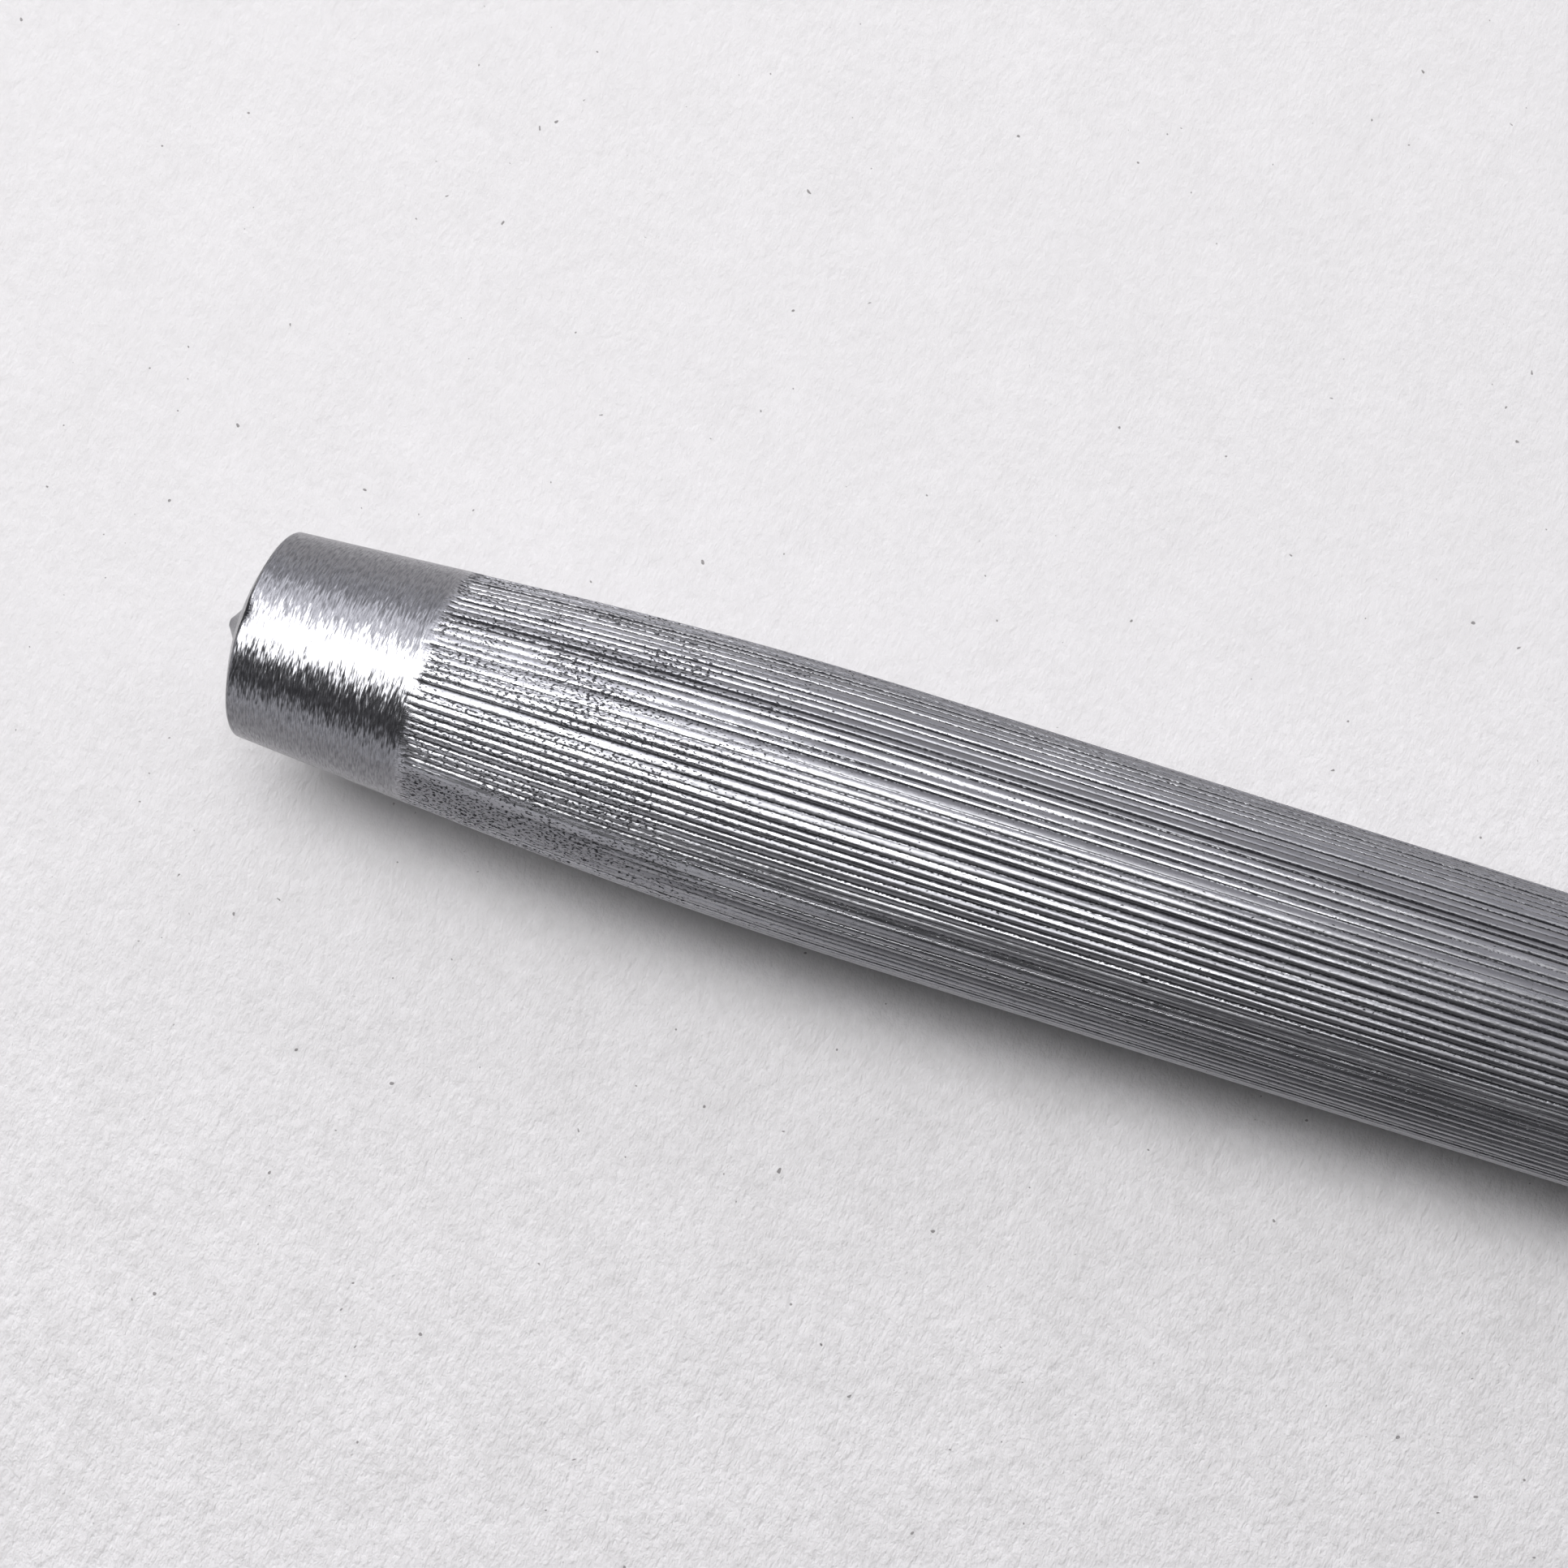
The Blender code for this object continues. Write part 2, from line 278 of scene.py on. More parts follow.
def struck_end_rings(count):
    """The pip, the crown and the broken edge of the rim, out to the plain band. The profile holds pairs of
    a distance along the handle and a radius."""
    crown_edge = RIM_RADIUS - EDGE_BREAK
    profile = [(-(CROWN_HEIGHT + PIP_HEIGHT), 0.55 * PIP_TIP_RADIUS)]
    for share in (0.03, 0.12, 0.35, 0.6, 0.85, 1.0):
        radius = PIP_TIP_RADIUS + (PIP_RADIUS - PIP_TIP_RADIUS) * share**1.1
        profile.append((-(CROWN_HEIGHT + PIP_HEIGHT * (1 - 0.93 * share)), radius))
    for radius in np.append(np.linspace(1.2 * PIP_RADIUS, crown_edge, 12), crown_edge + 0.01 * MM):
        profile.append((-CROWN_HEIGHT * (1 - min(1.0, radius / crown_edge) ** 2), radius))
    for along in (0.12, 0.45, 0.85, 1.0, 1.25):
        rounding = EDGE_BREAK * max(0.0, 1 - along) ** 2 * 0.9
        profile.append((along * EDGE_BREAK, float(surface_radius(along * EDGE_BREAK)) - rounding))
    angles = even_angles(count)
    rings = []
    for along, radius in profile:
        chip = peak(angles, CHIP_ANGLE, CHIP_WIDTH) * math.exp(-((along / CHIP_REACH) ** 2))
        rings.append(ring_points(along, radius - CHIP_DEPTH * chip, angles))
    return rings


def knurl_stations():
    """Where the rings of the knurling lie: close together where the grooves begin and end, wider between."""
    first = np.arange(KNURL_START - 0.5 * MM, KNURL_START + 1.5 * MM, 0.16 * MM)
    rest = np.linspace(first[-1] + 0.3 * MM, KNURL_END - 0.8 * MM, 98)
    last = np.linspace(KNURL_END - 0.6 * MM, KNURL_END, 4)
    return np.concatenate([first, rest, last])


def groove_cut(rng, along):
    """How fully each groove is cut at each station, from 0 to 1. Every groove begins at its own place."""
    begin = KNURL_START + rng.uniform(-0.12, 0.12, RIDGES) * MM
    run = rng.uniform(0.16, 0.42, RIDGES) * MM
    left = KNURL_END - 0.1 * MM - along[:, None]
    return eased((along[:, None] - begin) / run) * eased(left / KNURL_RUN_OUT)


def scuff_share(along):
    """How scuffed the grip is at each station and groove, from 0 to 1."""
    near_end = np.clip((SCUFF_END - along[:, None]) / (4 * MM), 0, 1)
    return near_end * peak(even_angles(RIDGES), SCUFF_ANGLE, SCUFF_WIDTH)


def groove_depths(rng, along, scuffed):
    """The depth of each groove at each station: uneven, and less where the grip is worn or scuffed."""
    worn = 0.5 * peak(even_angles(RIDGES), WORN_ANGLE, WORN_WIDTH)
    share = 1 - worn - 0.75 * scuffed + 0.2 * rng.standard_normal(RIDGES)
    share = share + 0.14 * wander(rng, RIDGES, along, 3 * MM)
    return GROOVE_DEPTH * np.clip(share, 0.2, 1.3)


def flank_shares(rng, along):
    """The shares of the pitch from a groove's bottom to the middle of the flank after it, and from the
    middle of the flank before the next groove to that groove's bottom."""
    spreads = 1 + 0.2 * rng.standard_normal((2, RIDGES))
    after, before = [np.clip(row + 0.12 * wander(rng, RIDGES, along, 2 * MM), 0.5, 1.5) for row in spreads]
    return GROOVE_HALF_SHARE * after, np.roll(FLANK_RATIO * GROOVE_HALF_SHARE * before, -1, axis=1)


def ridge_wear(rng, along, scuffed):
    """How far each ridge is worn down, how far it leans to one side, and how dull it is from 0 to 1."""
    low = 0.020 * MM * (rng.random(RIDGES) < 0.14)
    wear = low + 0.005 * MM * np.abs(wander(rng, RIDGES, along, 1.5 * MM))
    lean = 0.009 * MM * (0.8 + rng.standard_normal(RIDGES) + 0.35 * wander(rng, RIDGES, along, 4 * MM))
    dull = rng.random(RIDGES) ** 2 + 0.12 * wander(rng, RIDGES, along, 6 * MM) + scuffed
    return wear, lean, np.clip(dull, 0, 1)


def knurl_rings():
    """The knurled surface: for each groove its bottom, then a flank, a rounded ridge and the next flank.
    Every groove starts, runs and wears a little differently. Returns the rings of points, and the values
    at those points that the plating's look needs."""
    rng = np.random.default_rng(KNURL_SEED)
    along = knurl_stations()
    cut = groove_cut(rng, along)
    scuffed = scuff_share(along)
    depth = groove_depths(rng, along, scuffed) * cut
    after, before = flank_shares(rng, along)
    wear, lean, dull = [part * cut for part in ridge_wear(rng, along, scuffed)]
    shift = 0.05 * rng.standard_normal(RIDGES) * np.ones_like(cut)
    next_shift = np.roll(shift, -1, axis=1)
    next_depth = np.roll(depth, -1, axis=1)
    phases = [
        shift,
        shift + after,
        shift + after + SHOULDER_SHARE,
        0.5 + 0.5 * (shift + next_shift),
        next_shift + SECOND_SHOULDER_AT - before,
        next_shift + 1 - before,
    ]
    drops = [
        depth,
        FLANK_DROP * depth + wear + lean,
        SHOULDER_DROP * depth + wear + lean,
        wear,
        SHOULDER_DROP * next_depth + wear - lean,
        FLANK_DROP * next_depth + wear - lean,
    ]
    filed = FILED_DROP * depth * np.clip((FILED_UNTIL - along[:, None]) / (8 * MM), 0, 1)
    drops = np.maximum(np.stack(drops, axis=-1), filed[..., None])
    turns = np.arange(RIDGES)[None, :, None] + np.stack(phases, axis=-1)
    angles = (2 * math.pi / RIDGES * turns).reshape(len(along), -1)
    radii = surface_radius(along)[:, None] - drops.reshape(len(along), -1)
    rings = [ring_points(*station) for station in zip(along, radii, angles)]
    deep = depth / GROOVE_DEPTH
    on_ridge = np.zeros_like(cut)
    # how deep each point lies in a groove: this sets the dirt and painted shade there
    groove = [deep, 0.5 * deep, on_ridge, on_ridge, on_ridge, 0.5 * np.roll(deep, -1, axis=1)]
    knurled = eased((along - KNURL_START + 0.2 * MM) / (0.4 * MM))
    attributes = {
        "groove": list(np.stack(groove, axis=-1).reshape(len(along), -1)),
        "dull": list(np.repeat(dull, POINTS_PER_RIDGE, axis=1)),
        "knurled": list(np.repeat(knurled[:, None], RIDGES * POINTS_PER_RIDGE, axis=1)),
    }
    return rings, attributes


def make_grip():
    """The struck end, the plain band and the knurled grip in one surface."""
    coarse = 2 * RIDGES
    # How dark the painted shade is on the last rings of the struck end: all round the rim's edge, and in the
    # chip
    rim_shade = ((0.45, 0.4), (0.6, 0.9), (0.5, 0.9), (0, 0.9), (0, 0.9), (0, 0.8))
    head = struck_end_rings(coarse)
    rim_ring = len(head) - len(rim_shade)
    for along in np.linspace(0.35 * MM, KNURL_START - 0.7 * MM, 9):
        head.append(ring_points(along, surface_radius(along), even_angles(coarse)))
    knurl, attributes = knurl_rings()
    blank = [np.zeros(coarse)] * len(head)
    attributes = {label: blank + values for label, values in attributes.items()}
    chip = peak(even_angles(coarse), CHIP_ANGLE, CHIP_WIDTH + math.radians(1))
    # paints shade on the rim's edge and in the chip through the groove values
    for step, (all_round, in_chip) in enumerate(rim_shade):
        attributes["groove"][rim_ring + step] = all_round + in_chip * chip
    return add_rings("handle_grip", head + knurl, attributes)


def nose_blank(count):
    """The turned neck and nose before the slot is sawn. Its first ring is hidden inside the grip."""
    rings = []
    stations = np.concatenate([
        [KNURL_END - 0.25 * MM],
        np.linspace(KNURL_END + 0.02 * MM, NECK_START, 3),
        np.linspace(NECK_START, NECK_END, 34)[1:],
        np.linspace(NECK_END, HANDLE_END - NOSE_CHAMFER, 18)[1:],
    ])
    for along in stations:
        radius = float(surface_radius(along))
        if along < KNURL_END:
            radius -= 2 * GROOVE_DEPTH
        rings.append(ring_points(along, radius, even_angles(count)))
    rings.append(ring_points(HANDLE_END - 0.03 * MM, RADIUS - 0.93 * NOSE_CHAMFER, even_angles(count)))
    rings.append(ring_points(HANDLE_END, RADIUS - NOSE_CHAMFER - 0.05 * MM, even_angles(count)))
    return add_rings("handle_nose", rings)


def box_mesh(bm, low, high):
    """A box that cuts: from its lowest to its highest corner."""
    made = bmesh.ops.create_cube(bm, size=1.0)
    bmesh.ops.scale(bm, vec=Vector(high) - Vector(low), verts=made["verts"])
    bmesh.ops.translate(bm, vec=(Vector(high) + Vector(low)) / 2, verts=made["verts"])


def upright_cylinder(bm, x, radius, length):
    """A cylinder that cuts along Z through the handle's axis."""
    made = bmesh.ops.create_cone(bm, cap_ends=True, segments=48, radius1=radius, radius2=radius, depth=length)
    bmesh.ops.translate(bm, vec=(x, 0, AXIS_Z), verts=made["verts"])


def cut_with(item, bm, edge):
    """Cuts a shape out of an item, and breaks the sharp edges by a small bevel."""
    mesh = bpy.data.meshes.new("cutter")
    bmesh.ops.recalc_face_normals(bm, faces=bm.faces)
    bm.to_mesh(mesh)
    bm.free()
    cutter = bpy.data.objects.new("cutter", mesh)
    bpy.context.collection.objects.link(cutter)
    boolean = item.modifiers.new("cut", "BOOLEAN")
    boolean.operation = "DIFFERENCE"
    boolean.solver = "EXACT"
    boolean.object = cutter
    if edge:
        add_edge_break(item, edge)
    keep_evaluated(item)
    bpy.data.objects.remove(cutter)


def add_edge_break(item, width):
    """A narrow bevel on every edge sharper than the surface's own facets."""
    bevel = item.modifiers.new("edge", "BEVEL")
    bevel.width = width
    bevel.segments = 2
    bevel.limit_method = "ANGLE"
    bevel.angle_limit = math.radians(32)
    bevel.harden_normals = True


def keep_evaluated(item):
    """Applies an item's modifiers to its mesh."""
    graph = bpy.context.evaluated_depsgraph_get()
    mesh = bpy.data.meshes.new_from_object(item.evaluated_get(graph), depsgraph=graph)
    item.modifiers.clear()
    item.data = mesh


def pin_centres():
    """Where the pins stand along the tool."""
    return [(low.x + high.x) / 2 for low, high in PIN_BOXES.values()]


def pin_radius():
    """The radius that both pins have."""
    low, high = PIN_BOXES["front_pin"]
    return (high.x - low.x) / 2


def make_nose():
    """The neck and the slotted nose, with its two cross holes."""
    nose = nose_blank(144)
    bm = bmesh.new()
    half = TANG_THICKNESS / 2 + SLOT_PLAY
    low = (SLOT_START_X, -2 * RADIUS, AXIS_Z - half)
    high = (HANDLE_HIGH.x + RADIUS, 2 * RADIUS, AXIS_Z + half)
    box_mesh(bm, low, high)
    cut_with(nose, bm, 0.0)
    bm = bmesh.new()
    for x in pin_centres():
        upright_cylinder(bm, x, pin_radius() + HOLE_PLAY, 4 * RADIUS)
    cut_with(nose, bm, NOSE_EDGE_BREAK)
    return nose


def make_pin(name):
    """A cross pin, driven in and filed to the nose's own curve, with a shallow dish from the punch."""
    low, high = PIN_BOXES[name]
    centre_x = (low.x + high.x) / 2
    radius = pin_radius()
    shares = [0.02, 0.25, 0.5, 0.72, 0.88, 0.96, 1.0]
    angles = even_angles(48)
    half_rings = []
    for share in shares:
        y = radius * share * np.sin(angles)
        x = radius * share * np.cos(angles)
        dish = PIN_DISH_DEPTH * math.exp(-((share / PIN_DISH_SHARE) ** 2))
        edge = PIN_EDGE_DROP * max(0.0, share - PIN_EDGE_START) / (1 - PIN_EDGE_START)
        z = np.sqrt(RADIUS**2 - y**2) - PIN_BELOW_NOSE - (dish + edge)
        half_rings.append((x, y, z))
    rings = [np.stack([centre_x + x, y, AXIS_Z + z], axis=-1) for x, y, z in half_rings]
    rings += [np.stack([centre_x + x, y, AXIS_Z - z], axis=-1) for x, y, z in reversed(half_rings)]
    return add_rings(name + "_filed", rings)


# ---------------------------------------------------------------- blade


def blade_half_width(along):
    """The blade's half width at a distance from its shoulder: a fan, then straight."""
    return SHOULDER_HALF_WIDTH + (BLADE_HALF_WIDTH - SHOULDER_HALF_WIDTH) * float(eased(along / FLARE_LENGTH))


def blade_sections():
    """The blade's cross-sections in order, as (x, half width, thickness)."""
    bevel_start = GULLET_X - BEVEL_LENGTH
    sections = [
        (SLOT_START_X + 0.1 * MM, TANG_HALF_WIDTH, TANG_THICKNESS),
        (SHOULDER_X, TANG_HALF_WIDTH, TANG_THICKNESS),
        (SHOULDER_X, SHOULDER_HALF_WIDTH - 0.25 * MM, BLADE_THICKNESS - 0.5 * MM),
    ]
    for along in np.linspace(0.25 * MM, FLARE_LENGTH, 26):
        sections.append((SHOULDER_X + along, blade_half_width(along), BLADE_THICKNESS))
    sections.append((bevel_start, BLADE_HALF_WIDTH, BLADE_THICKNESS))
    for share in np.linspace(0.12, 1.0, 6):
        thickness = BLADE_THICKNESS + (ROOT_THICKNESS - BLADE_THICKNESS) * share**1.15
        sections.append((bevel_start + share * BEVEL_LENGTH, BLADE_HALF_WIDTH, thickness))
    for share in np.linspace(0.25, 1.0, 4):
        thickness = ROOT_THICKNESS + (TIP_THICKNESS - ROOT_THICKNESS) * share
        sections.append((GULLET_X + share * TOOTH_LENGTH, BLADE_HALF_WIDTH, thickness))
    return sections


def section_ring(x, half_width, thickness):
    """A rectangle across the blade with chamfered corners and points along its broad faces."""
    half = thickness / 2
    chamfer = BLADE_CHAMFER if thickness > TANG_THICKNESS else TANG_CHAMFER
    right = [(half_width - chamfer, half), (half_width, half - chamfer)]
    right += [(y, -z) for y, z in reversed(right)]
    bottom = [(y, -half) for y in np.linspace(half_width - chamfer, chamfer - half_width, 13)[1:-1]]
    left = [(-y, z) for y, z in reversed(right)]
    top = [(y, half) for y in np.linspace(chamfer - half_width, half_width - chamfer, 13)[1:-1]]
    return np.array([(x, y, AXIS_Z + z) for y, z in right + bottom + left + top])


def gullet_outline(left_edge, right_edge):
    """Points (x, distance across) of one gullet: round at its root and open past the tips."""
    past = 0.5 * TOOTH_LENGTH
    arc_x = GULLET_X + GULLET_ROOT_RADIUS
    flank = TIP_X - arc_x
    outline = []
    for angle in np.linspace(-math.pi / 2, math.pi / 2, 17):
        outline.append((arc_x - GULLET_ROOT_RADIUS * math.cos(angle), GULLET_ROOT_RADIUS * math.sin(angle)))
    for edge, side in ((right_edge, 1), (left_edge, -1)):
        reach = GULLET_ROOT_RADIUS + (edge - GULLET_ROOT_RADIUS) * (flank + past) / flank
        outline.append((TIP_X + past, side * reach))
    return outline


def add_gullet(bm, middle_y, outline):
    """A gullet outline pushed through the blade along the slant of the teeth."""
    across = Vector((0, math.cos(TOOTH_SLANT), -math.sin(TOOTH_SLANT)))
    through = Vector((0, math.sin(TOOTH_SLANT), math.cos(TOOTH_SLANT)))
    ends = []
    for side in (-1, 1):
        base = Vector((0, middle_y, AXIS_Z)) + side * BLADE_THICKNESS * through
        ends.append([bm.verts.new(base + Vector((x, 0, 0)) + w * across) for x, w in outline])
    count = len(outline)
    for i in range(count):
        after = (i + 1) % count
        bm.faces.new((ends[0][i], ends[0][after], ends[1][after], ends[1][i]))
    for end in ends:
        bm.faces.new(end)


def make_blade():
    """The blade: tang, shoulders, fan, bevelled row and its slanted teeth."""
    blade = add_rings("blade_ground", [section_ring(*section) for section in blade_sections()])
    bm = bmesh.new()
    between = (TOOTH_PITCH * math.cos(TOOTH_SLANT) - TIP_WIDTH) / 2
    for i in range(TEETH + 1):
        left = TOOTH_PITCH if i == 0 else between
        right = TOOTH_PITCH if i == TEETH else between
        add_gullet(bm, (i - TEETH / 2) * TOOTH_PITCH, gullet_outline(left, right))
    cut_with(blade, bm, TOOTH_EDGE_BREAK)
    return blade


# ---------------------------------------------------------------- materials


def add_node(tree, kind, links=None, **settings):
    """Adds a shader node. links gives its inputs, as sockets or as plain values."""
    made = tree.nodes.new(kind)
    for name, value in settings.items():
        setattr(made, name, value)
    for name, value in (links or {}).items():
        if isinstance(value, bpy.types.NodeSocket):
            tree.links.new(value, made.inputs[name])
        else:
            made.inputs[name].default_value = value
    return made


def maths(tree, operation, first, second=0.0):
    """The result of one sum on two values or sockets."""
    return add_node(tree, "ShaderNodeMath", {0: first, 1: second}, operation=operation).outputs[0]


def remap(tree, value, low, high, to_low, to_high):
    """A value stretched from one range to another, and held there."""
    links = {"Value": value, "From Min": low, "From Max": high, "To Min": to_low, "To Max": to_high}
    return add_node(tree, "ShaderNodeMapRange", links).outputs["Result"]


def blend_colours(tree, share, first, second):
    """A colour between two others."""
    made = add_node(tree, "ShaderNodeMix", {0: share}, data_type="RGBA")
    for socket, colour in ((made.inputs[6], first), (made.inputs[7], second)):
        if isinstance(colour, bpy.types.NodeSocket):
            tree.links.new(colour, socket)
        else:
            socket.default_value = (*colour, 1.0)
    return made.outputs[2]


def stretched(tree, vector, stretch, turn):
    """Coordinates turned by an angle, with this many units in a millimetre, along and around."""
    links = {"Vector": vector, "Scale": (*stretch, 1.0), "Rotation": (0.0, 0.0, turn)}
    return add_node(tree, "ShaderNodeMapping", links).outputs[0]


def noise(tree, vector, stretch, detail=2.0, turn=0.0, roughness=0.55):
    """Noise from 0 to 1. stretch is how many features fit in a millimetre, along and around."""
    placed = stretched(tree, vector, stretch, turn)
    links = {"Vector": placed, "Scale": 1.0, "Detail": detail, "Roughness": roughness}
    return add_node(tree, "ShaderNodeTexNoise", links).outputs["Fac"]


def feed(tree, node, name, socket):
    """Links a socket to one of a node's inputs."""
    tree.links.new(socket, node.inputs[name])


def tilt_normal(tree, shader, vector, stretch, amount, turn=0.0):
    """Tilts the shader's bumped normal in small patches, as scratches and rough spots do. amount is a
    socket: the steepest tilt, about, as a slope."""
    placed = stretched(tree, vector, stretch, turn)
    patches = add_node(tree, "ShaderNodeTexNoise", {"Vector": placed, "Scale": 1.0, "Detail": 1.0})
    links = {0: patches.outputs["Color"], 1: (0.5, 0.5, 0.5)}
    lean = add_node(tree, "ShaderNodeVectorMath", links, operation="SUBTRACT")
    lean = add_node(tree, "ShaderNodeVectorMath", {0: lean.outputs[0]}, operation="SCALE")
    feed(tree, lean, "Scale", maths(tree, "MULTIPLY", amount, 4.0))
    bumped = shader.inputs["Normal"].links[0].from_socket
    total = add_node(tree, "ShaderNodeVectorMath", {0: bumped, 1: lean.outputs[0]}, operation="ADD")
    straight = add_node(tree, "ShaderNodeVectorMath", {0: total.outputs[0]}, operation="NORMALIZE")
    feed(tree, shader, "Normal", straight.outputs[0])


def attribute(tree, name):
    """A value that the mesh holds at its points."""
    return add_node(tree, "ShaderNodeAttribute", attribute_name=name).outputs["Fac"]


def length(tree, vector):
    """How long a vector is."""
    return add_node(tree, "ShaderNodeVectorMath", {0: vector}, operation="LENGTH").outputs["Value"]


def along_direction(tree, vector, direction):
    """How far a vector reaches in a direction."""
    links = {0: vector, 1: direction}
    return add_node(tree, "ShaderNodeVectorMath", links, operation="DOT_PRODUCT").outputs["Value"]


def round_coordinates(tree):
    """Millimetres along the handle's surface and around it, measured from the top. The first also grows
    with the radius, so that lines run round in circles on the end faces. The seam lies underneath."""
    place = add_node(tree, "ShaderNodeTexCoord").outputs["Object"]
    parts = add_node(tree, "ShaderNodeSeparateXYZ", {0: place})
    height = maths(tree, "SUBTRACT", parts.outputs["Z"], AXIS_Z)
    angle = maths(tree, "ARCTAN2", parts.outputs["Y"], height)
    around = maths(tree, "MULTIPLY", angle, RADIUS / MM)
    flat = add_node(tree, "ShaderNodeCombineXYZ", {0: parts.outputs["Y"], 1: height}).outputs[0]
    along = maths(tree, "ADD", parts.outputs["X"], length(tree, flat))
    along = maths(tree, "MULTIPLY", along, 1 / MM)
    return add_node(tree, "ShaderNodeCombineXYZ", {0: along, 1: around}).outputs[0]


def flat_coordinates(tree):
    """Millimetres along and across the tool, and up."""
    place = add_node(tree, "ShaderNodeTexCoord").outputs["Object"]
    links = {"Vector": place, "Scale": (1 / MM, 1 / MM, 1 / MM)}
    return add_node(tree, "ShaderNodeMapping", links).outputs[0]


def metal(name):
    """A new material with a fully metallic shader."""
    material = bpy.data.materials.new(name)
    material.use_nodes = True
    tree = material.node_tree
    shader = tree.nodes["Principled BSDF"]
    shader.inputs["Metallic"].default_value = 1.0
    return material, tree, shader


def add_bump(tree, shader, height, distance):
    """Bumps the shader by a height from 0 to 1 times a distance."""
    links = {"Height": height, "Strength": 1.0, "Distance": distance}
    feed(tree, shader, "Normal", add_node(tree, "ShaderNodeBump", links).outputs[0])


def plated_steel():
    """Dull nickel plating: sanded crosswise on the plain band, drawn lengthwise on the ridges, with dark
    pits, and dirt and painted shade in the grooves."""
    material, tree, shader = metal("plated_steel")
    place = round_coordinates(tree)
    knurled = attribute(tree, "knurled")
    dull = attribute(tree, "dull")
    plain = maths(tree, "SUBTRACT", 1.0, knurled)
    along = add_node(tree, "ShaderNodeSeparateXYZ", {0: flat_coordinates(tree)}).outputs["X"]
    rough_end = remap(tree, along, RIM_X / MM + 11.0, RIM_X / MM + 20.0, 1.0, 0.0)
    streaks = noise(tree, place, (0.8, 26.0), 3.0)
    patches = noise(tree, place, (0.35, 0.9), 2.0)
    pitted = maths(tree, "MULTIPLY", remap(tree, dull, 0.15, 0.8, 0.0, 0.9), rough_end)
    pitted = maths(tree, "MAXIMUM", pitted, remap(tree, patches, 0.38, 0.62, 0.2, 1.0))
    pitted = maths(tree, "MULTIPLY", pitted, maths(tree, "MAXIMUM", rough_end, 0.2))
    # dark: dirt and painted shade in the grooves and on the rim, and dark pits
    dark = maths(tree, "MAXIMUM", groove_dirt_and_shade(tree, place, along), pits(tree, place, pitted, knurled))

    # The sanding strokes are real scratches; their near-black colour is painted shade.
    strokes = noise(tree, place, (19.0, 2.6), 2.0, math.radians(-6))
    stroke_dark = maths(tree, "MULTIPLY", remap(tree, strokes, 0.42, 0.62, 0.0, 0.45), plain)
    tone = blend_colours(tree, patches, PLATING_DARK, PLATING_LIGHT)
    tone = blend_colours(tree, stroke_dark, tone, PLATING_STROKE_SHADE)
    # The knurling near the struck end is painted lighter: a painted highlight.
    painted_highlight = remap(tree, along, RIM_X / MM + 9.0, RIM_X / MM + 17.0, 1.0, 0.22)
    tone = blend_colours(tree, maths(tree, "MULTIPLY", knurled, painted_highlight), tone, PLATING_PAINTED_HIGHLIGHT)
    tone = blend_colours(tree, maths(tree, "MULTIPLY", dull, 0.5), tone, PLATING_DULL)
    # the plating darkens towards the colour of dirt and painted shade
    feed(tree, shader, "Base Color", blend_colours(tree, dark, tone, DIRT_AND_SHADE))

    drawn_rough = remap(tree, streaks, 0.3, 0.7, 0.18, 0.34)
    ridge_rough = maths(tree, "ADD", drawn_rough, maths(tree, "MULTIPLY", dull, 0.14))
    rough = add_node(tree, "ShaderNodeMix", {0: knurled, 2: 0.25, 3: ridge_rough}).outputs[0]
    feed(tree, shader, "Roughness", maths(tree, "MAXIMUM", rough, maths(tree, "MULTIPLY", dark, 0.6)))

    grain = noise(tree, place, (14.0, 14.0), 2.0)
    drawn = maths(tree, "MULTIPLY", streaks, 0.25)
    height = maths(tree, "ADD", drawn, maths(tree, "MULTIPLY", grain, 0.18))
    height = maths(tree, "SUBTRACT", height, maths(tree, "MULTIPLY", dark, 0.6))
    add_bump(tree, shader, maths(tree, "MULTIPLY", height, knurled), 0.006 * MM)
    sanded = maths(tree, "MULTIPLY", plain, 0.15)
    tilt_normal(tree, shader, place, (22.0, 3.0), sanded, math.radians(5))
    rough_spots = maths(tree, "MULTIPLY", knurled, remap(tree, rough_end, 0.0, 1.0, 0.03, 0.10))
    tilt_normal(tree, shader, place, (9.0, 16.0), rough_spots)
    return material


def groove_dirt_and_shade(tree, place, along):
    """How dark the dirt and painted shade are: from 0 on the ridges to 1 in the grooves, with a ragged edge,
    and blackest where the grooves begin. The dark in the grooves is real dirt and painted shade in the
    hollows."""
    groove = attribute(tree, "groove")
    edge = remap(tree, noise(tree, place, (11.0, 20.0), 2.0), 0.3, 0.7, -0.28, 0.28)
    ragged = maths(tree, "ADD", groove, edge)
    # real dirt and painted shade, darkest at the groove bottoms
    dirt_and_shade = remap(tree, ragged, 0.34, 0.75, 0.0, 0.96)
    from_start = maths(tree, "SUBTRACT", along, (RIM_X + KNURL_START) / MM + 0.12)
    start = remap(tree, maths(tree, "ABSOLUTE", from_start), 0.1, 0.3, 1.0, 0.0)
    begun = maths(tree, "MULTIPLY", remap(tree, ragged, 0.02, 0.3, 0.0, 0.9), start)
    return maths(tree, "MAXIMUM", dirt_and_shade, begun)


def pits(tree, place, pitted, knurled):
    """Small dark pits, close together where pitted is 1, and a few longer nicks."""
    specks = noise(tree, place, (8.5, 15.0), 1.0)
    bar = remap(tree, pitted, 0.0, 1.0, 0.72, 0.51)
    small = remap(tree, maths(tree, "SUBTRACT", specks, bar), 0.0, 0.04, 0.0, 0.9)
    long = remap(tree, noise(tree, place, (1.6, 5.0), 1.0), 0.77, 0.79, 0.0, 0.95)
    return maths(tree, "MULTIPLY", maths(tree, "MAXIMUM", small, long), knurled)


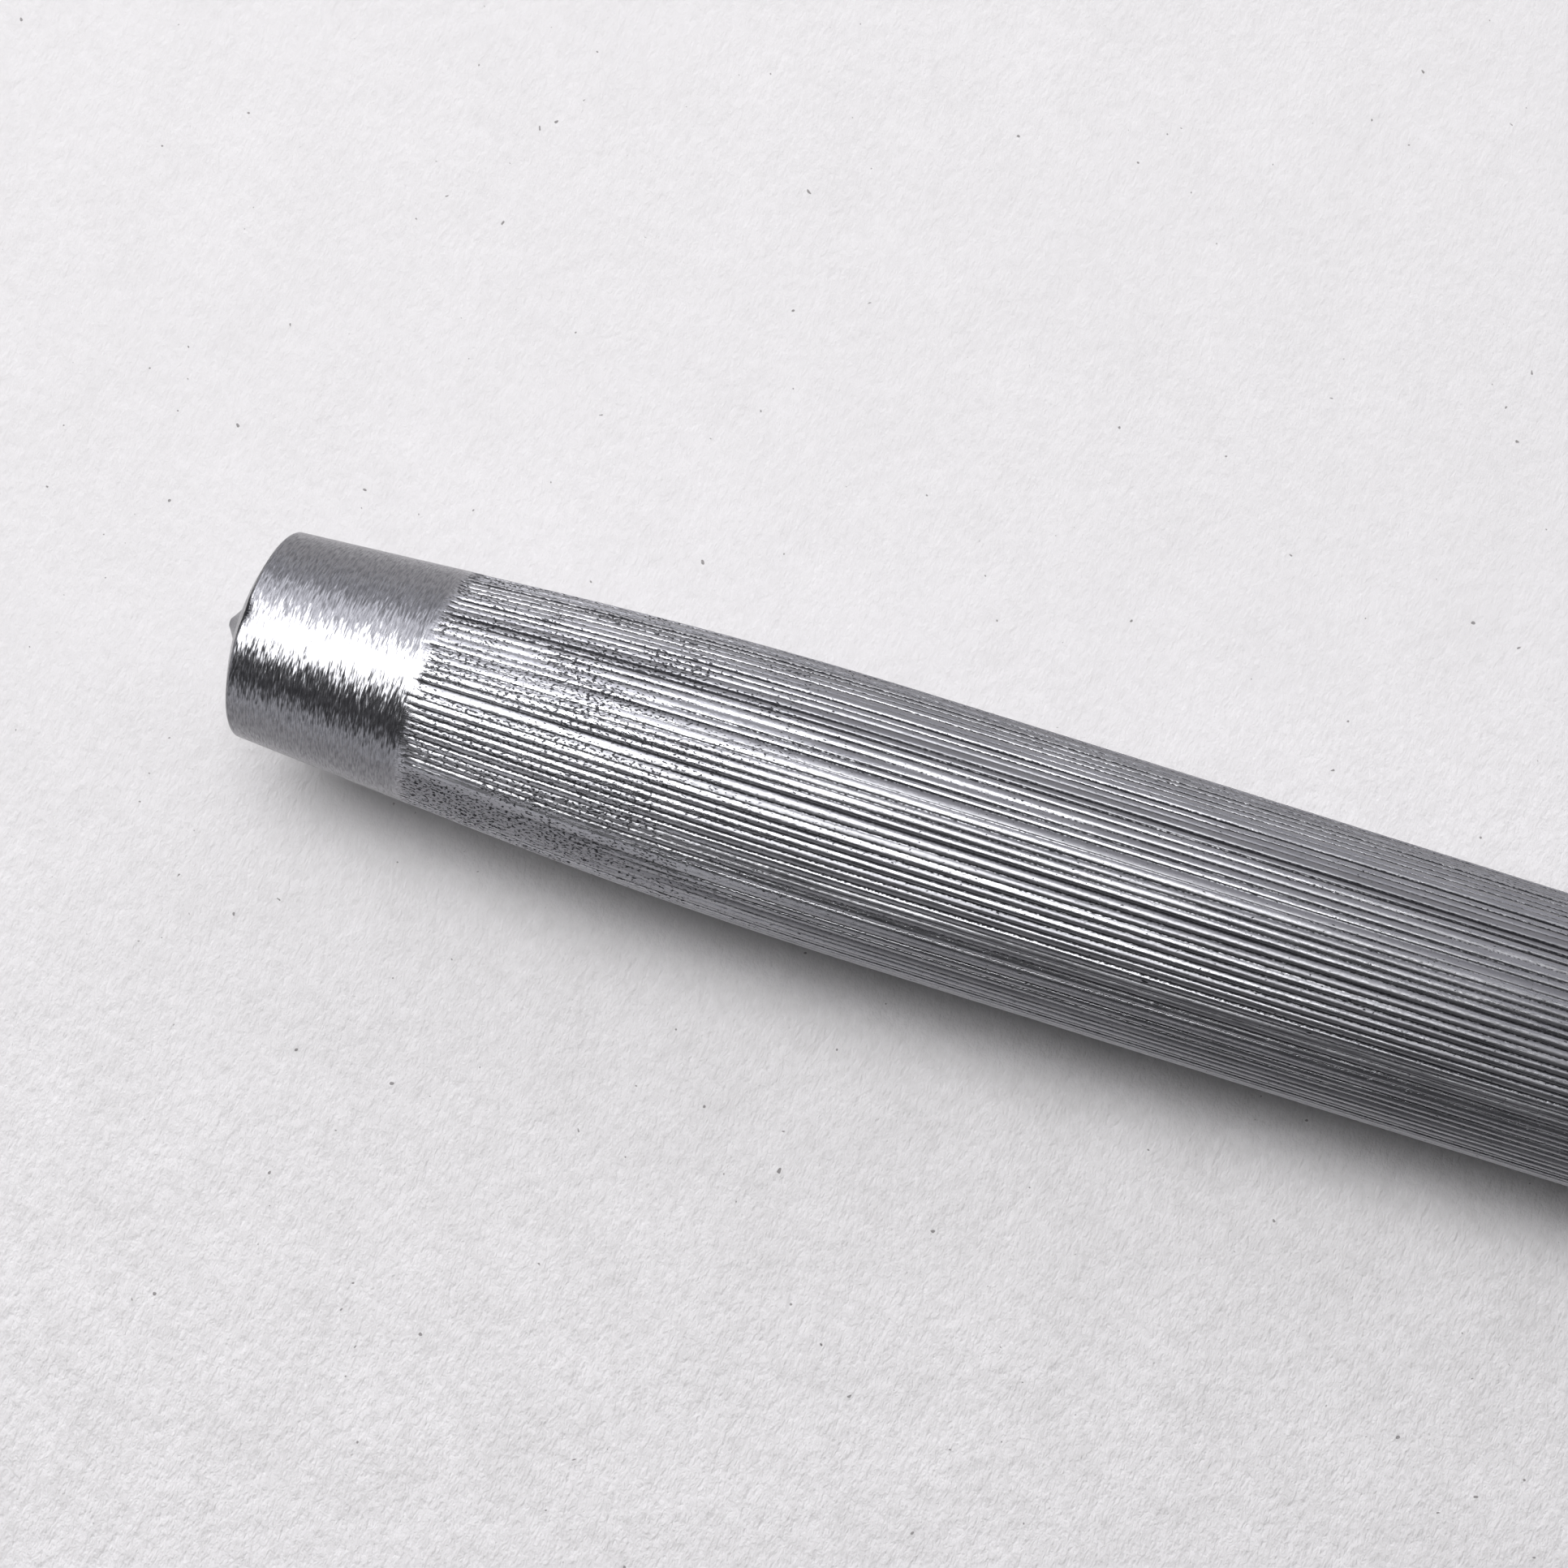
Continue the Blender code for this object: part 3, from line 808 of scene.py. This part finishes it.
def turned_steel():
    """The same plating on the turned neck and nose: fine rings from the lathe, a few handling marks."""
    material, tree, shader = metal("turned_steel")
    place = round_coordinates(tree)
    rings = noise(tree, place, (16.0, 0.12), 3.0)
    marks = noise(tree, place, (3.0, 1.4), 4.0, math.radians(35), 0.7)
    patches = noise(tree, place, (0.3, 0.3), 3.0)
    scuff = remap(tree, marks, 0.60, 0.68, 0.0, 1.0)
    tone = blend_colours(tree, patches, TURNED_DARK, TURNED_LIGHT)
    tone = blend_colours(tree, maths(tree, "MULTIPLY", scuff, 0.25), tone, TURNED_SCUFF)
    feed(tree, shader, "Base Color", tone)
    rough = remap(tree, rings, 0.35, 0.65, 0.18, 0.32)
    feed(tree, shader, "Roughness", maths(tree, "ADD", rough, maths(tree, "MULTIPLY", scuff, 0.12)))
    height = maths(tree, "SUBTRACT", rings, maths(tree, "MULTIPLY", scuff, 0.3))
    add_bump(tree, shader, height, 0.003 * MM)
    return material


def ground_steel():
    """Hardened steel ground lengthwise: long fine lines, brighter and smoother towards the teeth, with a
    brown-grey trace of scale by the shoulders."""
    material, tree, shader = metal("ground_steel")
    place = flat_coordinates(tree)
    lines = noise(tree, place, (0.35, 11.0), 4.0, 0.0, 0.65)
    fine_lines = noise(tree, place, (1.2, 32.0), 2.0)
    patches = noise(tree, place, (0.4, 0.5), 4.0)
    along = add_node(tree, "ShaderNodeSeparateXYZ", {0: place}).outputs["X"]
    ground = remap(tree, along, SHOULDER_X / MM - 1.0, GULLET_X / MM - 4.0, 0.0, 1.0)
    left_over = maths(tree, "SUBTRACT", patches, maths(tree, "MULTIPLY", ground, 0.55))
    scale = remap(tree, left_over, 0.15, 0.5, 0.0, 0.8)
    tone = blend_colours(tree, lines, GROUND_DARK, GROUND_LIGHT)
    feed(tree, shader, "Base Color", blend_colours(tree, scale, tone, FORGING_SCALE))
    rough = remap(tree, lines, 0.3, 0.7, 0.20, 0.38)
    feed(tree, shader, "Roughness", maths(tree, "ADD", rough, maths(tree, "MULTIPLY", scale, 0.15)))
    height = maths(tree, "ADD", lines, maths(tree, "MULTIPLY", fine_lines, 0.4))
    add_bump(tree, shader, height, 0.004 * MM)
    return material


def pin_steel():
    """Bright pin ends, filed across in one direction."""
    material, tree, shader = metal("pin_steel")
    place = flat_coordinates(tree)
    strokes = noise(tree, place, (1.5, 18.0), 3.0, math.radians(28), 0.7)
    patches = noise(tree, place, (2.0, 2.0), 3.0)
    feed(tree, shader, "Base Color", blend_colours(tree, patches, PIN_DARK, PIN_LIGHT))
    feed(tree, shader, "Roughness", remap(tree, strokes, 0.3, 0.7, 0.2, 0.42))
    add_bump(tree, shader, strokes, 0.004 * MM)
    return material


def pale_paper():
    """The surface under the tool: off-white, faintly mottled, with a soft fibrous grain that is stronger
    towards the picture's lower edge."""
    material = bpy.data.materials.new("pale_paper")
    material.use_nodes = True
    tree = material.node_tree
    shader = tree.nodes["Principled BSDF"]
    place = flat_coordinates(tree)
    clouds = noise(tree, place, (0.4, 0.4), 3.0, 0.0, 0.6)
    grains = noise(tree, place, (2.4, 1.8), 3.0, CAMERA_ROLL, 0.65)
    fibres = noise(tree, place, (7.0, 3.2), 3.0, CAMERA_ROLL, 0.65)
    dots = noise(tree, place, (3.2, 3.2), 1.0)
    speck = remap(tree, dots, 0.775, 0.80, 0.0, 0.8)
    rough = maths(tree, "ADD", maths(tree, "MULTIPLY", grains, 0.6), maths(tree, "MULTIPLY", fibres, 0.4))
    mottle = maths(tree, "ADD", maths(tree, "MULTIPLY", clouds, 0.3), maths(tree, "MULTIPLY", rough, 0.7))
    relief = remap(tree, along_direction(tree, place, picture_axes()[1]), -8.0, 17.0, 1.8, 0.7)
    mottle = maths(tree, "MULTIPLY", maths(tree, "SUBTRACT", mottle, 0.515), relief)
    tone = blend_colours(tree, remap(tree, mottle, -0.2, 0.2, 0.0, 1.0), PAPER_LIGHT, PAPER_DARK)
    tone = blend_colours(tree, speck, tone, PAPER_SPECK)
    away = remap(tree, length(tree, place), FADE_START / MM, FADE_END / MM, 0.0, 1.0)
    feed(tree, shader, "Base Color", blend_colours(tree, away, tone, BLACK))
    shader.inputs["Emission Color"].default_value = (*BACKDROP, 1.0)
    feed(tree, shader, "Emission Strength", away)
    shader.inputs["Roughness"].default_value = 0.9
    shader.inputs["Specular IOR Level"].default_value = 0.2
    add_bump(tree, shader, maths(tree, "MULTIPLY", rough, relief), 0.085 * MM)
    return material


# ---------------------------------------------------------------- studio


def make_floor():
    """The level sheet just under the tool."""
    bm = bmesh.new()
    bmesh.ops.create_grid(bm, x_segments=24, y_segments=24, size=FLOOR_HALF_SIZE)
    mesh = bpy.data.meshes.new("floor")
    bm.to_mesh(mesh)
    bm.free()
    floor = bpy.data.objects.new("floor", mesh)
    floor.location.z = -FLOOR_DROP
    bpy.context.collection.objects.link(floor)
    mesh.materials.append(pale_paper())


def picture_axes():
    """The directions that are right and up in the picture."""
    turn = Matrix.Rotation(CAMERA_ROLL, 3, "Z")
    return turn @ Vector((1, 0, 0)), turn @ Vector((0, 1, 0))


def add_panel(name, right_range, up_range, distance, strength, colour):
    """A soft rectangular light that faces the grip. The ranges are how far it leans from straight up,
    in degrees, towards the picture's right and its top. Returns the light."""
    right, up = picture_axes()
    lean_right, lean_up = (math.radians(sum(limits) / 2) for limits in (right_range, up_range))
    half_right, half_up = (math.radians(limits[1] - limits[0]) / 2 for limits in (right_range, up_range))
    facing = (math.tan(lean_right) * right + math.tan(lean_up) * up + Vector((0, 0, 1))).normalized()
    across = (right - right.dot(facing) * facing).normalized()
    data = bpy.data.lights.new(name, "AREA")
    data.shape = "RECTANGLE"
    data.size = 2 * distance * math.tan(half_right)
    data.size_y = 2 * distance * math.tan(half_up)
    data.energy = strength * data.size * data.size_y * math.pi
    data.color = colour
    light = bpy.data.objects.new(name, data)
    turn = Matrix((across, facing.cross(across), facing)).transposed()
    grip = Vector((RIM_X + CAMERA_ALONG, 0, AXIS_Z))
    light.matrix_world = Matrix.Translation(grip + distance * facing) @ turn.to_4x4()
    light.visible_camera = False
    bpy.context.collection.objects.link(light)
    return light


def make_lights():
    """A key light for the floor and its shadow, and two cards that only the metal reflects: a wide one
    overhead, and a dimmer, cooler one beyond it."""
    key = add_panel("key", (-42, 17), (12, 34), 0.32, 8.2, WHITE)
    key.visible_glossy = False
    card = add_panel("card", (-42, 21), (-6, 32), 0.32, 7.5, WHITE)
    card.visible_diffuse = False
    far_card = add_panel("far_card", (-48, 6), (37, 62), 0.34, 1.5, COOL_WHITE)
    far_card.visible_diffuse = False


def make_world():
    """The room: dark above the near side, brighter above the far side and beyond the tool's ends, with a
    horizon that is pale except at the picture's lower right. The camera sees only a pale backdrop."""
    world = bpy.data.worlds.new("studio")
    bpy.context.scene.world = world
    world.use_nodes = True
    tree = world.node_tree
    tree.nodes.clear()
    place = add_node(tree, "ShaderNodeTexCoord").outputs["Generated"]
    picture_right, picture_up = picture_axes()
    up = along_direction(tree, place, picture_up)
    right = along_direction(tree, place, picture_right)
    parts = add_node(tree, "ShaderNodeSeparateXYZ", {0: place}).outputs
    beyond_ends = remap(tree, maths(tree, "ABSOLUTE", parts["X"]), 0.52, 0.74, 0.0, 1.0)
    far_side = remap(tree, up, 0.0, 0.5, 0.0, 1.0)
    low = remap(tree, parts["Z"], 0.25, 0.46, 1.0, 0.0)
    room = blend_colours(tree, far_side, NEAR_ROOM, FAR_ROOM)
    to_right = remap(tree, right, -0.35, -0.05, 0.0, 1.0)
    near_horizon = blend_colours(tree, to_right, NEAR_HORIZON_LEFT, NEAR_HORIZON_RIGHT)
    horizon = blend_colours(tree, far_side, near_horizon, FAR_HORIZON)
    reflected = blend_colours(tree, low, room, horizon)
    reflected = blend_colours(tree, beyond_ends, reflected, END_ROOM)
    lighting = blend_colours(tree, far_side, NEAR_LIGHTING, FAR_LIGHTING)
    rays = add_node(tree, "ShaderNodeLightPath").outputs
    colour = blend_colours(tree, rays["Is Diffuse Ray"], reflected, lighting)
    colour = blend_colours(tree, rays["Is Camera Ray"], colour, BACKDROP)
    back = add_node(tree, "ShaderNodeBackground", {"Color": colour, "Strength": 1.0})
    out = add_node(tree, "ShaderNodeOutputWorld")
    tree.links.new(back.outputs[0], out.inputs["Surface"])


def make_camera():
    """Straight above the grip, turned so that the tool slopes down to the right."""
    data = bpy.data.cameras.new("camera")
    data.lens = LENS_MM
    data.sensor_width = SENSOR_MM
    data.clip_start = 1 * MM
    data.clip_end = 20.0
    camera = bpy.data.objects.new("camera", data)
    camera.location = (RIM_X + CAMERA_ALONG, CAMERA_SIDEWAYS, AXIS_Z + CAMERA_ABOVE_AXIS)
    camera.rotation_euler = (0.0, 0.0, CAMERA_ROLL)
    bpy.context.collection.objects.link(camera)
    bpy.context.scene.camera = camera
    bpy.context.scene.view_settings.view_transform = "Standard"


def stand_for(piece, node, material):
    """Gives a piece its finish and puts it in the place of a CAD node."""
    piece.data.materials.clear()
    piece.data.materials.append(material)
    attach(piece, "root")
    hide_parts(node)


def main():
    make_camera()
    make_world()
    make_lights()
    make_floor()
    stand_for(make_grip(), "handle", plated_steel())
    stand_for(make_nose(), "handle", turned_steel())
    stand_for(make_blade(), "blade", ground_steel())
    filed = pin_steel()
    for name in PIN_BOXES:
        stand_for(make_pin(name), name, filed)


main()
